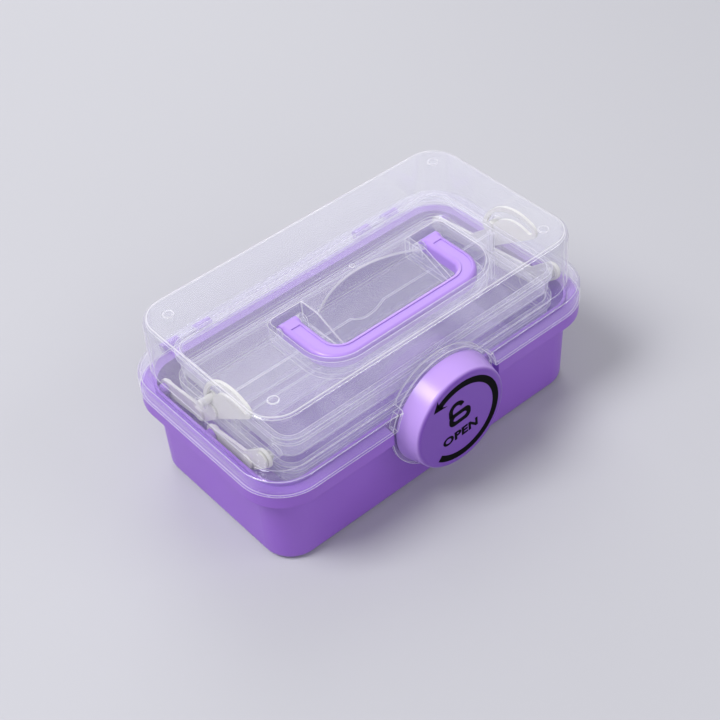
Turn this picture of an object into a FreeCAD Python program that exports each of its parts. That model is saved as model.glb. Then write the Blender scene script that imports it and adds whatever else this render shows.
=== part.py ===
import FreeCAD, Part
import math
import os
import Sketcher

# Craft storage box: a tub, a clear domed lid hinged at the rear, a turn lock on the front, a folding
# handle in the lid, and two trays that swing up and back on crank arms as the lid opens.
# Millimetres. X runs along the length, Y to the rear, Z up; the origin is the centre of the base.

DRIVING_SIZES = {
    # Outer form
    "box_length": 260.0,
    "box_width": 149.0,
    "box_height": 118.3,
    "corner_radius": 30.0,
    "split_height": 66.2,
    "split_gap": 0.3,
    "wall": 1.8,
    # Tub
    "tub_setback": 8.8,
    "tub_draft": 1.3,
    "tub_foot_radius": 5.0,
    "tub_foot_bevel": 3.0,
    "rim_setback": 0.5,
    "rim_depth": 9.0,
    "lip_height": 2.3,
    "notch_half": 42.0,
    # Lid
    "skirt_depth": 12.5,
    "dome_setback": 8.5,
    "dome_draft": 0.6,
    "dome_edge_radius": 4.0,
    "shoulder_radius": 2.5,
    "pip_inset": 26.0,
    "pip_radius": 3.2,
    "pip_lift": 0.7,
    "gate_radius": 1.6,
    "gate_lift": 0.3,
    "gate_behind_pocket": 3.5,
    # Handle pocket and handle
    "pocket_room": 5.0,
    "pocket_front": -51.0,
    "pocket_rear": 3.5,
    "pocket_depth": 13.8,
    "pocket_front_radius": 22.0,
    "pocket_rear_radius": 4.0,
    "pocket_draft": 3.0,
    "scoop_room": 2.6,
    "grip_room": 1.0,
    "scoop_rear": 3.4,
    "scoop_radius": 160.0,
    "scoop_slope": 22.5,
    "handle_half": 61.5,
    "handle_front": -47.0,
    "handle_bend": 20.0,
    "grip_width": 10.6,
    "leg_width": 12.5,
    "handle_thick": 8.4,
    "handle_edge": 2.6,
    "handle_drop": 4.5,
    "handle_pivot_y": -1.2,
    "recess_inner_margin": 3.0,
    "recess_outer_margin": 3.0,
    "recess_depth": 0.6,
    "recess_end": 6.0,
    "lug_thick": 4.2,
    "lug_play": 0.2,
    "handle_pin_radius": 1.5,
    "handle_pin_head": 1.0,
    # Turn lock
    "knob_height": 57.2,
    "knob_face": 85.8,
    "knob_back": 70.7,
    "knob_front_radius": 34.8,
    "knob_back_radius": 37.7,
    "knob_edge": 3.0,
    "tab_radius": 40.3,
    "tab_front": 70.4,
    "hub_radius": 7.95,
    "hub_bore": 8.0,
    "stub_side": 6.0,
    "stub_play": 0.05,
    "lock_play": 0.3,
    "cam_thick": 1.6,
    "cam_hub_radius": 9.0,
    "cam_inner": 19.6,
    "cam_outer": 25.0,
    "cam_arm_half": 4.0,
    "cam_arm_inset": 1.5,
    "cam_arm_angle": 20.0,
    "cam_hook_end": 24.0,
    "cam_hook_start": -50.0,
    "catch_half": 4.0,
    "catch_radius": 12.5,
    "catch_play": 0.4,
    "screw_radius": 1.25,
    "screw_length": 8.0,
    "screw_head_radius": 5.0,
    "screw_head": 0.6,
    # Hinge
    "hinge_y": 78.0,
    "knuckle_radius": 3.2,
    "knuckle_length": 12.0,
    "hinge_middle": 78.0,
    "hinge_play": 0.3,
    "hinge_pin_radius": 1.5,
    # Trays
    "tray_end_room": 22.0,
    "tray_front": -61.0,
    "tray_rear": 52.0,
    "tray_corner": 13.0,
    "tray_height": 18.0,
    "tray_wall": 1.6,
    "tray_band": 5.0,
    "tray_band_step": 1.9,
    "tray_draft": 1.5,
    "tray_foot": 2.6,
    "upper_rim_drop": 24.3,
    "tray_gap": 4.0,
    "divider_y": -5.0,
    "divider_thick": 1.5,
    "divider_play": 0.1,
    "divider_end_play": 0.3,
    "divider_drop": 2.0,
    "rib_thick": 1.5,
    "rib_reach": 2.2,
    "dip_radius": 18.0,
    "dip_depth": 5.0,
    # Crank arms: the rear pair lies in the inner layer, the front pair in the outer layer
    "rear_pivot_y": 52.0,
    "arm_pivot_z": 62.0,
    "arm_spacing": 50.0,
    "lower_reach": 34.0,
    "lower_pivot_drop": 6.0,
    "upper_reach": 50.0,
    "upper_pivot_drop": 14.0,
    "arm_thick": 2.0,
    "layer_gap": 0.8,
    "tray_to_arm": 2.3,
    "arm_half": 6.0,
    "arm_pin_radius": 3.0,
    "pin_play": 0.25,
    "pivot_play": 0.05,
    "side_play": 0.3,
    "pin_root": 2.6,
    "root_play": 0.3,
    "pin_head_radius": 4.6,
    "pin_head": 1.2,
    "boss_radius": 4.2,
    # Cam slot of the rear arms
    "cam_boss": 3.0,
    "cam_pin_y": 4.0,
    "cam_pin_drop": 30.3,
    "cam_pin_radius": 2.5,
    "cam_head_radius": 3.6,
    "slot_margin": 3.0,
    "lid_travel": 92.0,
    "arm_travel": 96.0,
}

# Sizes that follow from the driving sizes
FOLLOWING_SIZES = {
    "pocket_half": "=handle_half + pocket_room",
    "scoop_front": "=handle_front + grip_width + grip_room",
    "lug_inner": "=handle_half - leg_width - lug_play - lug_thick",
    "scoop_half": "=lug_inner - scoop_room",
    "cam_front": "=wall + lock_play - tab_front",
    "tray_half": "=box_length / 2 - tray_end_room",
    "inner_layer": "=tray_half + tray_to_arm",
    "outer_layer": "=inner_layer + arm_thick + layer_gap",
    "upper_rim": "=box_height - upper_rim_drop",
    "lower_rim": "=upper_rim - tray_height - tray_gap",
    "upper_rise": "=upper_rim - upper_pivot_drop - arm_pivot_z",
    "lower_rise": "=lower_rim - lower_pivot_drop - arm_pivot_z",
    "cam_pin_z": "=box_height - cam_pin_drop",
}

doc = FreeCAD.newDocument("craft_storage_box")
sheet = doc.addObject("Spreadsheet::Sheet", "dims")
for row, (alias, number) in enumerate((DRIVING_SIZES | FOLLOWING_SIZES).items(), start=1):
    sheet.set("A%d" % row, alias)
    sheet.set("B%d" % row, str(number))
    sheet.setAlias("B%d" % row, alias)
doc.recompute()

X_AXIS = FreeCAD.Vector(1, 0, 0)
Y_AXIS = FreeCAD.Vector(0, 1, 0)
Z_AXIS = FreeCAD.Vector(0, 0, 1)
UPRIGHT = FreeCAD.Rotation(X_AXIS, 90)
ALONG_X = FreeCAD.Rotation(Y_AXIS, 90)


def size(alias):
    """One driving size as a number."""
    return float(sheet.get(alias))


def worked_out(expression):
    """The value of an expression over the driving sizes."""
    found = sheet.evalExpression(expression)
    return float(getattr(found, "Value", found))


def add(kind, name):
    return doc.addObject(kind, name)


def bind(item, **properties):
    """Bind properties of an object to expressions over the sheet."""
    for prop, expression in properties.items():
        item.setExpression(prop.replace("__", "."), expression)
    return item


def place(item, x="0", y="0", z="0"):
    return bind(item, Placement__Base__x=x, Placement__Base__y=y, Placement__Base__z=z)


def cylinder(name, radius, length, x="0", y="0", z="0", rotation=None):
    item = add("Part::Cylinder", name)
    if rotation:
        item.Placement = FreeCAD.Placement(FreeCAD.Vector(), rotation)
    bind(item, Radius=radius, Height=length)
    return place(item, x, y, z)


def block(name, x, y, z):
    """A box from three (low, high) pairs of expressions."""
    item = add("Part::Box", name)
    bind(item, Length="(%s) - (%s)" % (x[1], x[0]))
    bind(item, Width="(%s) - (%s)" % (y[1], y[0]))
    bind(item, Height="(%s) - (%s)" % (z[1], z[0]))
    return place(item, x[0], y[0], z[0])


def fuse(name, parts):
    item = add("Part::MultiFuse", name)
    item.Shapes = parts
    item.Refine = True
    return item


def cut(name, base, tools):
    item = add("Part::Cut", name)
    item.Base = base
    item.Tool = tools[0] if len(tools) == 1 else fuse(name + "_tools", tools)
    item.Refine = True
    return item


def common(name, first, second):
    item = add("Part::Common", name)
    item.Base = first
    item.Tool = second
    return item


def mirrored(name, source, normal):
    item = add("Part::Mirroring", name)
    item.Source = source
    item.Normal = normal
    return item


def both_ends(name, source):
    """A piece and its mirror image at the other end of the box."""
    return [source, mirrored(name + "_mirrored", source, X_AXIS)]


def rounded_sketch(name, x, y, front_radius, rear_radius):
    """A sketch of a rectangle with rounded corners, bound to the sheet."""
    sketch = add("Sketcher::SketchObject", name)
    left, right = worked_out(x[0]), worked_out(x[1])
    front, rear = worked_out(y[0]), worked_out(y[1])
    near, far = worked_out(front_radius), worked_out(rear_radius)
    quarter = math.pi / 2

    def line(start, end):
        sketch.addGeometry(Part.LineSegment(FreeCAD.Vector(*start), FreeCAD.Vector(*end)))

    def corner(centre, radius, first):
        circle = Part.Circle(FreeCAD.Vector(*centre), Z_AXIS, radius)
        sketch.addGeometry(Part.ArcOfCircle(circle, first, first + quarter))

    line((left + near, front), (right - near, front))
    corner((right - near, front + near), near, -quarter)
    line((right, front + near), (right, rear - far))
    corner((right - far, rear - far), far, 0)
    line((right - far, rear), (left + far, rear))
    corner((left + far, rear - far), far, quarter)
    line((left, rear - far), (left, front + near))
    corner((left + near, front + near), near, 2 * quarter)
    for edge in range(8):
        sketch.addConstraint(Sketcher.Constraint("Tangent", edge, 2, (edge + 1) % 8, 1))
    for edge, kind in ((0, "Horizontal"), (4, "Horizontal"), (2, "Vertical"), (6, "Vertical")):
        sketch.addConstraint(Sketcher.Constraint(kind, edge))
    sketch.addConstraint(Sketcher.Constraint("Equal", 1, 7))
    sketch.addConstraint(Sketcher.Constraint("Equal", 3, 5))

    def driven(label, constraint, expression):
        index = sketch.addConstraint(constraint)
        sketch.renameConstraint(index, label)
        sketch.setExpression("Constraints." + label, expression)

    driven("left", Sketcher.Constraint("DistanceX", -1, 1, 6, 1, left), x[0])
    driven("right", Sketcher.Constraint("DistanceX", -1, 1, 2, 1, right), x[1])
    driven("front", Sketcher.Constraint("DistanceY", -1, 1, 0, 1, front), y[0])
    driven("rear", Sketcher.Constraint("DistanceY", -1, 1, 4, 1, rear), y[1])
    driven("front_radius", Sketcher.Constraint("Radius", 1, near), front_radius)
    driven("rear_radius", Sketcher.Constraint("Radius", 3, far), rear_radius)
    return sketch


def slab(name, x, y, z, radius, rear_radius=None, draft="0"):
    """A rounded slab between two heights; with a draft it narrows (or widens) on the way up."""
    sketch = rounded_sketch(name + "_outline", x, y, radius, rear_radius or radius)
    place(sketch, z=z[0])
    item = add("Part::Extrusion", name)
    item.Base = sketch
    item.DirMode = "Normal"
    item.Solid = True
    bind(item, LengthFwd="(%s) - (%s)" % (z[1], z[0]), TaperAngle=draft)
    return item


def outline_slab(name, setback, z, draft="0"):
    """A slab that follows the box's outline, set back by an amount on all sides."""
    half_x = "dims.box_length / 2 - (%s)" % setback
    half_y = "dims.box_width / 2 - (%s)" % setback
    radius = "dims.corner_radius - (%s)" % setback
    return slab(name, ("-(%s)" % half_x, half_x), ("-(%s)" % half_y, half_y), z, radius, draft=draft)


def fillet(name, base, radius_alias, chosen, kind="Part::Fillet"):
    """Round (or bevel) the edges that a test picks out; the radius comes from the sheet."""
    doc.recompute()
    item = add(kind, name)
    item.Base = base
    radius = size(radius_alias)
    picked = [i for i, edge in enumerate(base.Shape.Edges, start=1) if chosen(edge)]
    item.Edges = [(i, radius, radius) for i in picked]
    return item


def level_edge(edge, height):
    box = edge.BoundBox
    return abs(box.ZMin - height) < 0.01 and abs(box.ZMax - height) < 0.01


def node(item, label):
    item.Label = label
    return item


def shape_node(label, shape, height=0.0):
    """A piece whose shape is worked out in code from the sheet, set at a height."""
    item = add("Part::Feature", label)
    item.Shape = shape
    item.Placement = FreeCAD.Placement(FreeCAD.Vector(0, 0, height), FreeCAD.Rotation())
    return item


HALF_X = "dims.box_length / 2"
HALF_Y = "dims.box_width / 2"
SPLIT = "dims.split_height"
LID_EDGE = "dims.split_height + dims.split_gap"


def knuckles(name, spans, bore, web):
    """Hinge barrels with their webs: spans are (low, high) along X, for one side of the box."""
    barrels = []
    for number, (low, high) in enumerate(spans):
        tag = "%s_%d" % (name, number)
        length = "(%s) - (%s)" % (high, low)
        barrels.append(cylinder(tag + "_barrel", "dims.knuckle_radius", length,
                                low, "dims.hinge_y", LID_EDGE, ALONG_X))
        barrels.append(block(tag + "_web", (low, high), web[0], web[1]))
    return cut(name, fuse(name + "_solid", barrels),
               [cylinder(name + "_bore", bore, "dims.knuckle_length * 5", "dims.hinge_middle - "
                         "dims.knuckle_length * 2.5", "dims.hinge_y", LID_EDGE, ALONG_X)])


# Tub
def make_tub():
    foot_setback = "dims.tub_setback + dims.split_height * tan(dims.tub_draft)"
    shell = outline_slab("tub_body", foot_setback, ("0", SPLIT), draft="dims.tub_draft")
    shell = fillet("tub_foot", shell, "tub_foot_radius", lambda e: level_edge(e, 0))
    rim_low = "dims.split_height - dims.rim_depth"
    rim = outline_slab("rim_band", "dims.rim_setback", (rim_low, SPLIT))
    channel = cut("rim_channel",
                  outline_slab("channel_outer", "dims.rim_setback + dims.wall",
                               (rim_low + " - 1", SPLIT + " - dims.wall")),
                  [outline_slab("channel_inner", "dims.tub_setback", (rim_low + " - 2", SPLIT))])
    channel = cut("rim_channel_open", channel,
                  [block("channel_stop", ("-dims.notch_half - dims.wall", "dims.notch_half + dims.wall"),
                         ("-" + HALF_Y, "0"), ("0", SPLIT))])
    rim = cut("rim", rim, [channel])
    lip = outline_slab("lip", "dims.tub_setback", (SPLIT + " - 1", SPLIT + " + dims.lip_height"))
    body = fuse("tub_walls", [shell, rim, lip])
    inner_setback = "dims.tub_setback + dims.wall"
    cavity_drop = "(dims.split_height - dims.wall) * tan(dims.tub_draft)"
    cavity = outline_slab("tub_cavity", inner_setback + " + " + cavity_drop,
                          ("dims.wall", SPLIT + " + dims.lip_height + 1"), draft="dims.tub_draft")
    cavity = fillet("tub_cavity_foot", cavity, "tub_foot_bevel",
                    lambda e: level_edge(e, size("wall")), "Part::Chamfer")
    notch = block("rim_notch", ("-dims.notch_half", "dims.notch_half"), ("-" + HALF_Y + " - 1",
                  "-" + HALF_Y + " + dims.tub_setback"), (rim_low + " - 1", SPLIT + " + dims.lip_height + 1"))
    body = cut("tub_open", body, [cavity, notch])
    ends = []
    for tag, y, tip in (("rear", "dims.rear_pivot_y", "dims.inner_layer + dims.arm_thick + dims.side_play"),
                        ("front", "dims.rear_pivot_y - dims.arm_spacing",
                         "dims.outer_layer + dims.arm_thick + dims.side_play")):
        wall_x = HALF_X + " - dims.tub_setback - dims.wall / 2"
        post = cylinder("post_" + tag, "dims.boss_radius", "(%s) - (%s)" % (wall_x, tip), tip, y,
                        "dims.arm_pivot_z", ALONG_X)
        bore = cylinder("post_bore_" + tag, "dims.arm_pin_radius", "dims.pin_root + dims.root_play + 1",
                        tip + " - 1", y, "dims.arm_pivot_z", ALONG_X)
        ends += both_ends("arm_post_" + tag, cut("arm_post_" + tag, post, [bore]))
    spans = [("dims.hinge_middle - 1.5 * dims.knuckle_length - dims.hinge_play",
              "dims.hinge_middle - 0.5 * dims.knuckle_length - dims.hinge_play"),
             ("dims.hinge_middle + 0.5 * dims.knuckle_length + dims.hinge_play",
              "dims.hinge_middle + 1.5 * dims.knuckle_length + dims.hinge_play")]
    web = ((HALF_Y + " - dims.rim_setback - 1", "dims.hinge_y"),
           (LID_EDGE + " - dims.knuckle_radius", LID_EDGE + " - 0.5"))
    hinge = knuckles("tub_knuckles", spans, "dims.hinge_pin_radius", web)
    catch = block("lock_catch", ("-dims.catch_half", "dims.catch_half"),
                  ("dims.cam_front", "-dims.box_width / 2 + dims.tub_setback + dims.wall - dims.catch_play"),
                  ("dims.knob_height - dims.cam_inner + dims.catch_play",
                   "dims.knob_height - dims.catch_radius"))
    return node(fuse("tub", [body, catch] + ends + both_ends("tub_hinge", hinge)), "tub")


# Lid
def pocket_slab(name, setback, z):
    """A slab in the form of the handle pocket, set back from its mouth by an amount."""
    half = "dims.pocket_half - (%s)" % setback
    return slab(name, ("-(%s)" % half, half),
                ("dims.pocket_front + (%s)" % setback, "dims.pocket_rear - (%s)" % setback), z,
                "dims.pocket_front_radius - (%s)" % setback, "dims.pocket_rear_radius - (%s)" % setback,
                "dims.pocket_draft")


def scoop_cylinder(name, extra):
    """The sloping cylinder of the finger scoop, whose lowest line runs down from the lid's top to the front."""
    slope = size("scoop_slope")
    item = cylinder(name, "dims.scoop_radius + " + extra, "dims.scoop_radius",
                    rotation=FreeCAD.Rotation(X_AXIS, 90 + slope))
    leg = "(dims.scoop_radius / 2)"
    along, across = "cos(dims.scoop_slope * 1deg)", "sin(dims.scoop_slope * 1deg)"
    return place(item, "0", "dims.scoop_rear - dims.scoop_radius * %s + %s * %s" % (across, leg, along),
                 "dims.box_height + dims.scoop_radius * %s + %s * %s" % (along, leg, across))


def make_lid():
    shoulder = LID_EDGE + " + dims.skirt_depth"
    skirt = outline_slab("skirt", "0", (LID_EDGE, shoulder))
    dome = outline_slab("dome", "dims.dome_setback", (shoulder + " - 1", "dims.box_height"),
                        draft="-dims.dome_draft")
    body = fuse("lid_body", [skirt, dome])
    top = size("box_height")
    edge_z = size("split_height") + size("split_gap") + size("skirt_depth")
    body = fillet("lid_top_edge", body, "dome_edge_radius", lambda e: level_edge(e, top))
    body = fillet("lid_shoulder_edge", body, "shoulder_radius", lambda e: level_edge(e, edge_z))
    skirt_room = outline_slab("skirt_room", "dims.wall", (LID_EDGE + " - 1", shoulder + " - dims.wall"))
    dome_room = outline_slab("dome_room", "dims.dome_setback + dims.wall",
                             (LID_EDGE + " - 1", "dims.box_height - dims.wall"),
                             draft="-dims.dome_draft")
    body = cut("lid_shell", body, [skirt_room, dome_room])
    # Handle pocket: a tray let into the top, with its own floor and walls
    pocket_floor = "dims.box_height - dims.pocket_depth"
    lean = "dims.pocket_depth * tan(dims.pocket_draft)"
    pocket_outer = pocket_slab("pocket_outer", lean + " - dims.wall",
                               (pocket_floor + " - dims.wall", "dims.box_height - dims.wall / 2"))
    # Finger scoop: between the handle's legs, the pocket's rear rises in a ramp, hollow from below
    ramp = cut("ramp", block("ramp_block", ("-dims.scoop_half", "dims.scoop_half"),
                             ("dims.scoop_front", "dims.pocket_rear + dims.wall"),
                             (pocket_floor, "dims.box_height")),
               [scoop_cylinder("scoop", "0")])
    pocket_room = cut("pocket_room", pocket_slab("pocket_mouth", lean, (pocket_floor, "dims.box_height + 1")),
                      [ramp])
    inside = "(dims.scoop_half - dims.wall)"
    ramp_room = cut("ramp_room", block("ramp_room_block", ("-" + inside, inside),
                                       ("dims.scoop_front + dims.wall", "dims.pocket_rear + 2 * dims.wall"),
                                       (pocket_floor + " - dims.wall - 1", "dims.box_height - dims.wall")),
                    [scoop_cylinder("scoop_underside", "dims.wall")])
    # Lock boss and tab: a disc in front of the tub wall, a well in the skirt and a box against the dome
    tab_back = "dims.tab_front - dims.wall"
    knob_z = "dims.knob_height"
    well = cylinder("lock_well", "dims.tab_radius", "30", "0", "-dims.tab_front - 30", knob_z,
                    FreeCAD.Rotation(X_AXIS, -90))
    towards_rear = FreeCAD.Rotation(X_AXIS, -90)
    tab = cylinder("tab_disc", "dims.tab_radius", "dims.wall", "0", "-dims.tab_front", knob_z,
                   towards_rear)
    well_wall = cut("well_wall_ring",
                    cylinder("well_wall_outer", "dims.tab_radius + dims.wall",
                             HALF_Y + " - (%s)" % tab_back, "0", "-" + HALF_Y, knob_z, towards_rear),
                    [cylinder("well_wall_inner", "dims.tab_radius", "20", "0", "-" + HALF_Y + " - 5",
                              knob_z, towards_rear)])
    well_wall = common("well_wall", well_wall,
                       block("well_wall_range", ("-60", "60"), ("-" + HALF_Y, "-60"),
                             (LID_EDGE, shoulder + " - dims.wall / 2")))
    boss_wall = cut("boss_wall_ring",
                    cylinder("boss_wall_outer", "dims.tab_radius",
                             "dims.tab_front - dims.box_width / 2 + dims.dome_setback + 1", "0",
                             "-dims.tab_front", knob_z, towards_rear),
                    [cylinder("boss_wall_inner", "dims.tab_radius - dims.wall", "20", "0",
                              "-dims.tab_front - 5", knob_z, towards_rear)])
    boss_wall = common("boss_wall", boss_wall,
                       block("boss_wall_range", ("-60", "60"), ("-" + HALF_Y, "-60"),
                             (shoulder + " - dims.wall", "dims.box_height")))
    boss_room = common("boss_room",
                       cylinder("boss_room_disc", "dims.tab_radius - dims.wall", "9", "0",
                                "-(%s)" % tab_back, knob_z, towards_rear),
                       block("boss_room_range", ("-60", "60"), ("-" + HALF_Y, "0"),
                             (LID_EDGE + " - 1", "dims.box_height")))
    body = cut("lid_welled", body, [well])
    body = fuse("lid_with_pocket", [body, pocket_outer, tab, well_wall, boss_wall])
    hub_bore = cylinder("hub_bore_cut", "dims.hub_bore", "12", "0", "-dims.tab_front - 5", knob_z,
                        towards_rear)
    body = cut("lid_opened", body, [pocket_room, ramp_room, boss_room, hub_bore])
    extras = []
    # Handle lugs stand on the pocket floor, inside the handle's legs
    pivot_z = "dims.box_height - dims.handle_drop - dims.handle_thick / 2"
    lug = fuse("lug_solid", [
        cylinder("lug_round", "dims.handle_thick / 2", "dims.lug_thick", "dims.lug_inner",
                 "dims.handle_pivot_y", pivot_z, ALONG_X),
        block("lug_foot", ("dims.lug_inner", "dims.lug_inner + dims.lug_thick"),
              ("dims.handle_pivot_y - dims.handle_thick / 2", "dims.handle_pivot_y + "
               "dims.handle_thick / 2"), (pocket_floor + " - 1", pivot_z))])
    pin_bore = cylinder("lug_bore", "dims.handle_pin_radius", "30", "dims.lug_inner - 1",
                        "dims.handle_pivot_y", pivot_z, ALONG_X)
    extras += both_ends("handle_lug", cut("handle_lug", lug, [pin_bore]))
    # Bosses for the cam pins on the end walls
    wall_x = HALF_X + " - dims.dome_setback - dims.wall / 2"
    boss_tip = wall_x + " - dims.wall / 2 - dims.cam_boss"
    boss = cylinder("cam_boss_solid", "dims.boss_radius", "dims.cam_boss + dims.wall / 2", boss_tip,
                    "dims.cam_pin_y", "dims.cam_pin_z", ALONG_X)
    boss_bore = cylinder("cam_boss_bore", "dims.cam_pin_radius", "dims.pin_root + dims.root_play + 1",
                         boss_tip + " - 1", "dims.cam_pin_y", "dims.cam_pin_z", ALONG_X)
    extras += both_ends("cam_boss", cut("cam_boss", boss, [boss_bore]))
    # Four pips on the top, and the gate mark behind the pocket
    pip_x = HALF_X + " - dims.pip_inset"
    pip_y = HALF_Y + " - dims.pip_inset"
    for number, (sign_x, sign_y) in enumerate(((1, 1), (1, -1), (-1, 1), (-1, -1))):
        extras.append(cylinder("pip_%d" % number, "dims.pip_radius", "dims.pip_lift + 1",
                               "%d * (%s)" % (sign_x, pip_x), "%d * (%s)" % (sign_y, pip_y),
                               "dims.box_height - 1"))
    extras.append(cylinder("gate_mark", "dims.gate_radius", "dims.gate_lift + 1", "0",
                           "dims.pocket_rear + dims.gate_behind_pocket", "dims.box_height - 1"))
    span = [("dims.hinge_middle - 0.5 * dims.knuckle_length", "dims.hinge_middle + 0.5 * "
             "dims.knuckle_length")]
    web = ((HALF_Y + " - 1", "dims.hinge_y"),
           (LID_EDGE + " + dims.hinge_play", LID_EDGE + " + dims.knuckle_radius"))
    hinge = knuckles("lid_knuckle", span, "dims.hinge_pin_radius + dims.pivot_play", web)
    extras += both_ends("lid_hinge", hinge)
    return node(fuse("lid", [body] + extras), "lid")


# Trays
def make_tray(name, rim_alias):
    top = "dims." + rim_alias
    bottom = top + " - dims.tray_height"
    step = "dims.tray_band_step"
    half = "dims.tray_half"
    drop = "dims.tray_height * tan(dims.tray_draft)"
    inset = "(%s + %s)" % (step, drop)
    body = slab(name + "_body", ("-%s + %s" % (half, inset), "%s - %s" % (half, inset)),
                ("dims.tray_front + " + inset, "dims.tray_rear - " + inset), (bottom, top),
                "dims.tray_corner - " + inset, draft="dims.tray_draft")
    base_z = size(rim_alias) - size("tray_height")
    body = fillet(name + "_foot", body, "tray_foot", lambda e: level_edge(e, base_z), "Part::Chamfer")
    band = slab(name + "_band", ("-" + half, half), ("dims.tray_front", "dims.tray_rear"),
                (top + " - dims.tray_band", top), "dims.tray_corner")
    inner = "(%s + dims.tray_wall)" % inset
    room = slab(name + "_room", ("-%s + %s" % (half, inner), "%s - %s" % (half, inner)),
                ("dims.tray_front + " + inner, "dims.tray_rear - " + inner),
                (bottom + " + dims.tray_wall", top + " + 1"), "dims.tray_corner - " + inner,
                draft="dims.tray_draft")
    reach, rise = ("upper_reach", "upper_rise") if rim_alias == "upper_rim" else ("lower_reach", "lower_rise")
    solid = [body, band]
    pivot_z = "dims.arm_pivot_z + dims." + rise
    bosses = []
    bores = []
    root_x = half + " - " + step + " - dims.tray_wall"
    for tag, y, layer in (("rear", "dims.rear_pivot_y - dims." + reach, "dims.inner_layer"),
                          ("front", "dims.rear_pivot_y - dims.arm_spacing - dims." + reach,
                           "dims.outer_layer")):
        tip = layer + " - dims.side_play"
        boss = cylinder("%s_boss_%s" % (name, tag), "dims.boss_radius", "(%s) - (%s)" % (tip, root_x),
                        root_x, y, pivot_z, ALONG_X)
        bore = cylinder("%s_bore_%s" % (name, tag), "dims.arm_pin_radius",
                        "dims.pin_root + dims.root_play + 1",
                        tip + " - dims.pin_root - dims.root_play", y, pivot_z, ALONG_X)
        bosses += both_ends("%s_boss_%s" % (name, tag), boss)
        bores += both_ends("%s_bore_%s" % (name, tag), bore)
    # Ribs on the end walls that hold the long divider
    ribs = []
    rib_x = half + " - " + inset + " - dims.tray_wall"
    beside = "dims.divider_thick / 2 + dims.divider_play"
    for tag, y in (("near", "dims.divider_y - dims.rib_thick - (%s)" % beside),
                   ("far", "dims.divider_y + " + beside)):
        rib = block("%s_rib_%s" % (name, tag), (rib_x + " - dims.rib_reach", rib_x + " + 1"),
                    (y, y + " + dims.rib_thick"), (bottom + " + 1", top + " - dims.divider_drop"))
        ribs += both_ends("%s_rib_%s" % (name, tag), rib)
    # Bosses are added after the room is cut, so that nothing of them stands inside the tray
    outside = cut(name + "_bosses", fuse(name + "_boss_solids", bosses), [room] + bores)
    shell = cut(name + "_shell", fuse(name + "_solid", solid), [room])
    return node(cut(name + "_bored", fuse(name + "_joined", [shell, outside] + ribs), bores), name)


def make_divider(name, rim_alias):
    top = "dims." + rim_alias
    half = "dims.tray_half - dims.tray_band_step - dims.tray_wall - dims.tray_height * tan(dims.tray_draft)"
    low = top + " - dims.tray_height + dims.tray_wall"
    half += " - dims.divider_end_play"
    panel = block(name + "_panel", ("-(%s)" % half, half),
                  ("dims.divider_y - dims.divider_thick / 2", "dims.divider_y + dims.divider_thick / 2"),
                  (low, top + " - dims.divider_drop"))
    # Finger dip in the middle of the top edge
    dip = cylinder(name + "_dip", "dims.dip_radius", "3 * dims.divider_thick", "0",
                   "dims.divider_y + 1.5 * dims.divider_thick",
                   top + " - dims.divider_drop - dims.dip_depth + dims.dip_radius", UPRIGHT)
    return node(cut(name, panel, [dip]), name)


# Handle: a flat U with rounded bends and a groove along its top
def u_band(half, front, rear, bend, leg, grip, low, thick):
    """A U-shaped band, open to the rear, as a solid."""
    outer = rounded_plate(-half, half, front, rear + bend, bend, low, thick)
    inner = rounded_plate(-half + leg, half - leg, front + grip, rear + 2 * bend, bend - grip, low - 1,
                          thick + 2)
    keep = Part.makeBox(2 * half, rear - front, thick, FreeCAD.Vector(-half, front, low))
    return outer.cut(inner).common(keep)


def rounded_plate(left, right, front, rear, radius, low, thick):
    plate = Part.makeBox(right - left, rear - front, thick, FreeCAD.Vector(left, front, low))
    upright = [e for e in plate.Edges if e.BoundBox.ZLength > thick - 0.01]
    return plate.makeFillet(radius, upright)


def make_handle():
    thick = size("handle_thick")
    top = size("box_height") - size("handle_drop")
    low = top - thick
    half = size("handle_half")
    front = size("handle_front")
    pivot_y = size("handle_pivot_y")
    bend = size("handle_bend")
    leg = size("leg_width")
    grip = size("grip_width")
    body = u_band(half, front, pivot_y, bend, leg, grip, low, thick)
    # All edges of the top face but the two short ones over the pivot
    top_edges = [e for e in body.Edges
                 if e.BoundBox.ZMin > top - 0.01 and e.BoundBox.YMin < pivot_y - 0.01]
    body = body.makeFillet(size("handle_edge"), top_edges)
    for side in (-1, 1):
        start = min(side * half, side * (half - leg))
        barrel = Part.makeCylinder(thick / 2, leg, FreeCAD.Vector(start, pivot_y, low + thick / 2), X_AXIS)
        bore = Part.makeCylinder(size("handle_pin_radius") + size("pivot_play"), 3 * leg,
                                 FreeCAD.Vector(start - leg, pivot_y, low + thick / 2), X_AXIS)
        body = body.fuse(barrel).cut(bore)
    # A shallow recess follows the U between two raised edges
    near = size("recess_inner_margin")
    far = size("recess_outer_margin")
    deep = size("recess_depth")
    recess = u_band(half - far, front + far, pivot_y - size("recess_end"), bend - far, leg - near - far,
                    grip - near - far, top - deep, 2 * deep)
    return shape_node("handle", body.cut(recess).removeSplitter())


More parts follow.
